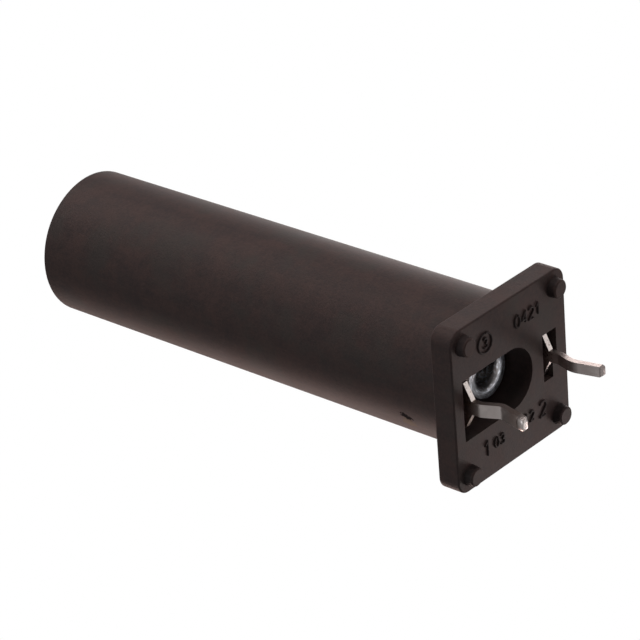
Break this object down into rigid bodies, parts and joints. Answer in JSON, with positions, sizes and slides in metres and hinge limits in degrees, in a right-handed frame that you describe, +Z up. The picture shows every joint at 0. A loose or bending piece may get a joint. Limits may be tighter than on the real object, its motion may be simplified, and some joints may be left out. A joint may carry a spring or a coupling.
{
  "type": "cartridge fuse holder",
  "caption": "Upright board-mounting fuse holder: tube on a square plate with flat solder pins, sprung bottom contact, and a flush bayonet knob that lifts the cartridge fuse out.",
  "frame": {"origin": "on the tube's axis in the plane of the circuit board, which the four foot tips touch", "axes": "+Z up the tube away from the board; the bottom terminal's pin is at -X, the side terminal's at +X"},
  "size_m": [0.0144, 0.0144, 0.0518],
  "materials": {
    "housing_plastic": "moulded thermoplastic, fine spark texture",
    "tinned_strip": "bright tin over copper alloy",
    "nickel_eyelet": "nickel plated, rolled",
    "spring_steel": "drawn stainless wire",
    "nickel_brass": "nickel-plated brass, drawn",
    "contact_rivet": "silver-plated, turned",
    "fuse_glass": "clear",
    "fuse_cap_metal": "nickel-plated brass, pressed",
    "element_metal": "tinned copper",
    "solder": "dull solder",
    "sleeve_brass": "bare brass",
    "carrier_plastic": "moulded thermoplastic",
    "stud_brass": "turned brass",
    "knob_plastic": "moulded thermoplastic, fine spark texture"
  },
  "bodies": {
    "base": {"housing": "housing_plastic", "bottom_terminal": "tinned_strip", "side_terminal": "tinned_strip", "contact_eyelet": "nickel_eyelet", "contact_spring": "spring_steel"},
    "plunger": {"plunger_cup": "nickel_brass", "plunger_rivet": "contact_rivet"},
    "fuse": {"fuse_tube": "fuse_glass", "fuse_cap_lower": "fuse_cap_metal", "fuse_cap_upper": "fuse_cap_metal", "fuse_element": "element_metal", "solder_lower": "solder", "solder_upper": "solder"},
    "carrier": {"carrier_cage": "carrier_plastic", "contact_sleeve": "sleeve_brass", "grip_ring": "spring_steel", "thrust_washer": "spring_steel"},
    "knob": {"knob": "knob_plastic", "knob_stud": "stud_brass"}
  },
  "joints": [
    {"name": "contact_press", "type": "slide", "parent": "base", "child": "plunger", "axis": [0, 0, -1], "range_m": [0, 0.0008], "stiffness_N_per_m": 1500, "springref_m": -0.002, "deforming": ["contact_spring"]},
    {"name": "carrier_lift", "type": "slide", "parent": "plunger", "child": "fuse", "axis": [0, 0, 1], "range_m": [0, 0.04]},
    {"name": "fuse_release", "type": "slide", "parent": "fuse", "child": "carrier", "axis": [0, 0, 1], "range_m": [0, 0.008]},
    {"name": "knob_turn", "type": "hinge", "parent": "carrier", "child": "knob", "pos_m": [0, 0, 0.0443], "axis": [0, 0, -1], "range_deg": [0, 60]}
  ]
}
